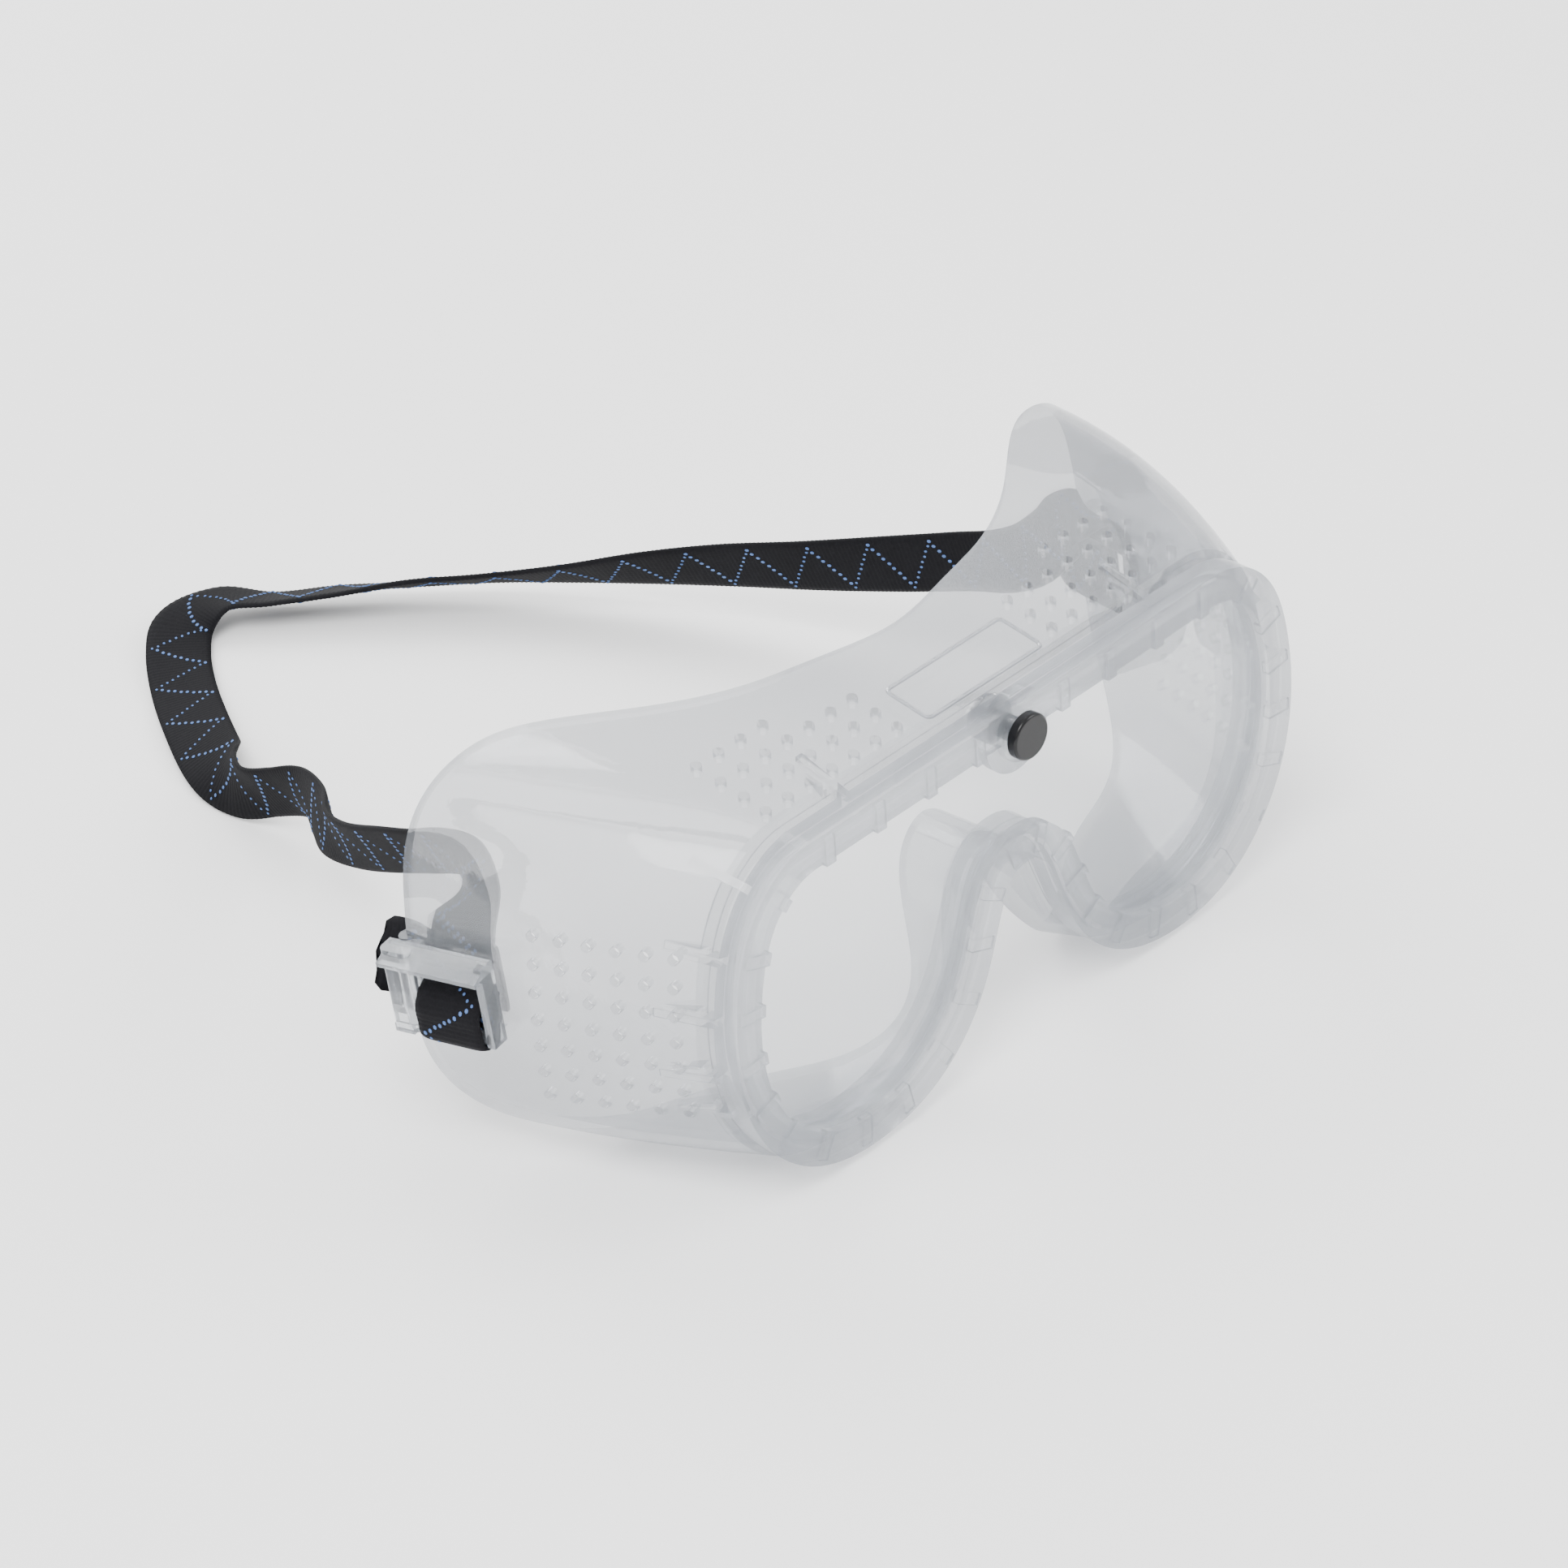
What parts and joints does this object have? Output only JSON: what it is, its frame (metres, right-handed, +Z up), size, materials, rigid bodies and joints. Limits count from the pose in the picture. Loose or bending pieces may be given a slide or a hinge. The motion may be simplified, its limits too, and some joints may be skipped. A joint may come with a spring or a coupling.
{
  "type": "safety goggles",
  "caption": "Clear safety goggles: soft vented body that wraps the eyes and nose, flat lens held by a press stud, and a black webbing head strap folded through clear side buckles.",
  "frame": {"origin": "front face of the rim on the centre plane, on the lip above the nose arch", "axes": "+Z up, +Y from the lens towards the face, +X to the wearer's left; the part stands on the lower edges of its body, with the strap laid down behind it"},
  "size_m": [0.185, 0.2231, 0.0733],
  "materials": {
    "clear_body": "soft clear vinyl, slightly milky, glossy",
    "lens": "clear polished sheet",
    "stud": "glossy black",
    "buckle": "clear hard moulding, glossy",
    "strap": "black ribbed webbing with dotted blue stitching"
  },
  "bodies": {
    "frame": {"frame_body": "clear_body", "lens": "lens", "stud_cap": "stud", "head_strap": "strap", "strap_tail_left": "strap", "strap_tail_right": "strap"},
    "stud": {"press_stud": "stud"},
    "right_buckle": {"buckle_right": "buckle", "strap_fold_right": "strap"},
    "left_buckle": {"buckle_left": "buckle", "strap_fold_left": "strap"}
  },
  "joints": [
    {"name": "stud_pull", "type": "slide", "parent": "frame", "child": "stud", "axis": [0, -1, 0], "range_m": [0, 0.009]},
    {"name": "right_buckle_swing", "type": "hinge", "parent": "frame", "child": "right_buckle", "pos_m": [-0.0852, 0.0592, -0.0055], "axis": [0.0191, -0.0939, -0.9954], "range_deg": [0, 25]},
    {"name": "left_buckle_swing", "type": "hinge", "parent": "frame", "child": "left_buckle", "pos_m": [0.0852, 0.0592, -0.0055], "axis": [0.0191, 0.0939, 0.9954], "range_deg": [0, 25]}
  ]
}
